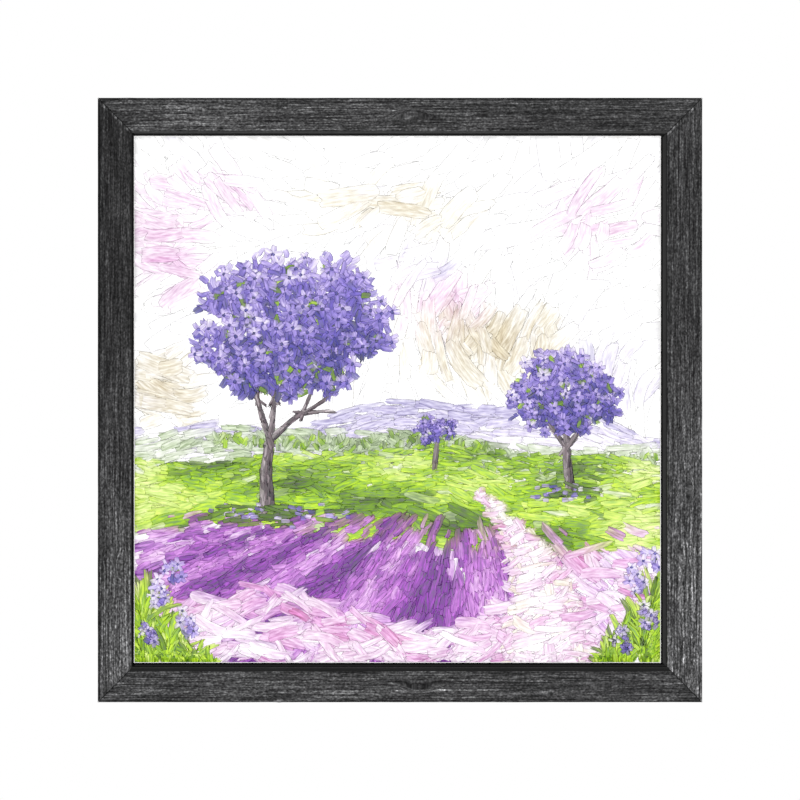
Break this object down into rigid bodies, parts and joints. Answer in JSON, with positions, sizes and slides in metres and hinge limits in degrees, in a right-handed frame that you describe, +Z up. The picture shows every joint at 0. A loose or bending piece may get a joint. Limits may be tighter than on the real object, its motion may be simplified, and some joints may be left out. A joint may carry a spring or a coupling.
{
  "type": "framed canvas picture",
  "caption": "Square canvas picture on stretcher bars, set with a narrow shadow gap in a charcoal wood floater frame with a sawtooth hanger.",
  "frame": {"origin": "the point of the wall plane level with the middle notch of the sawtooth hanger, where the wall nail carries the picture", "axes": "+X right as seen from the front, +Y from the picture back into the wall, +Z up; the picture faces -Y"},
  "size_m": [0.3492, 0.0349, 0.3492],
  "materials": {
    "frame_wood": "charcoal stain, wire-brushed, satin",
    "canvas_cloth": "primed and printed canvas, matte",
    "bar_pine": "planed, unfinished",
    "key_beech": "sawn, unfinished",
    "zinc_steel": "zinc plated",
    "hanger_steel": "thin brass plate",
    "bumper_rubber": "matte"
  },
  "bodies": {
    "root": {"rail_top": "frame_wood", "rail_right": "frame_wood", "rail_bottom": "frame_wood", "rail_left": "frame_wood", "canvas": "canvas_cloth", "bar_top": "bar_pine", "bar_right": "bar_pine", "bar_bottom": "bar_pine", "bar_left": "bar_pine", "key_top_by_right": "key_beech", "key_top_by_left": "key_beech", "key_right_by_bottom": "key_beech", "key_right_by_top": "key_beech", "key_bottom_by_left": "key_beech", "key_bottom_by_right": "key_beech", "key_left_by_top": "key_beech", "key_left_by_bottom": "key_beech", "vnail_top_right_outer": "zinc_steel", "vnail_top_right_inner": "zinc_steel", "vnail_right_bottom_outer": "zinc_steel", "vnail_right_bottom_inner": "zinc_steel", "vnail_bottom_left_outer": "zinc_steel", "vnail_bottom_left_inner": "zinc_steel", "vnail_left_top_outer": "zinc_steel", "vnail_left_top_inner": "zinc_steel", "screw_top_1": "zinc_steel", "screw_top_2": "zinc_steel", "screw_right_1": "zinc_steel", "screw_right_2": "zinc_steel", "screw_bottom_1": "zinc_steel", "screw_bottom_2": "zinc_steel", "screw_left_1": "zinc_steel", "screw_left_2": "zinc_steel", "staple_top_1": "zinc_steel", "staple_top_2": "zinc_steel", "staple_top_3": "zinc_steel", "staple_top_4": "zinc_steel", "staple_top_5": "zinc_steel", "staple_right_1": "zinc_steel", "staple_right_2": "zinc_steel", "staple_right_3": "zinc_steel", "staple_right_4": "zinc_steel", "staple_right_5": "zinc_steel", "staple_bottom_1": "zinc_steel", "staple_bottom_2": "zinc_steel", "staple_bottom_3": "zinc_steel", "staple_bottom_4": "zinc_steel", "staple_bottom_5": "zinc_steel", "staple_left_1": "zinc_steel", "staple_left_2": "zinc_steel", "staple_left_3": "zinc_steel", "staple_left_4": "zinc_steel", "staple_left_5": "zinc_steel", "hanger": "hanger_steel", "hanger_nail_left": "hanger_steel", "hanger_nail_right": "hanger_steel", "bumper_left": "bumper_rubber", "bumper_right": "bumper_rubber"}
  },
  "joints": []
}
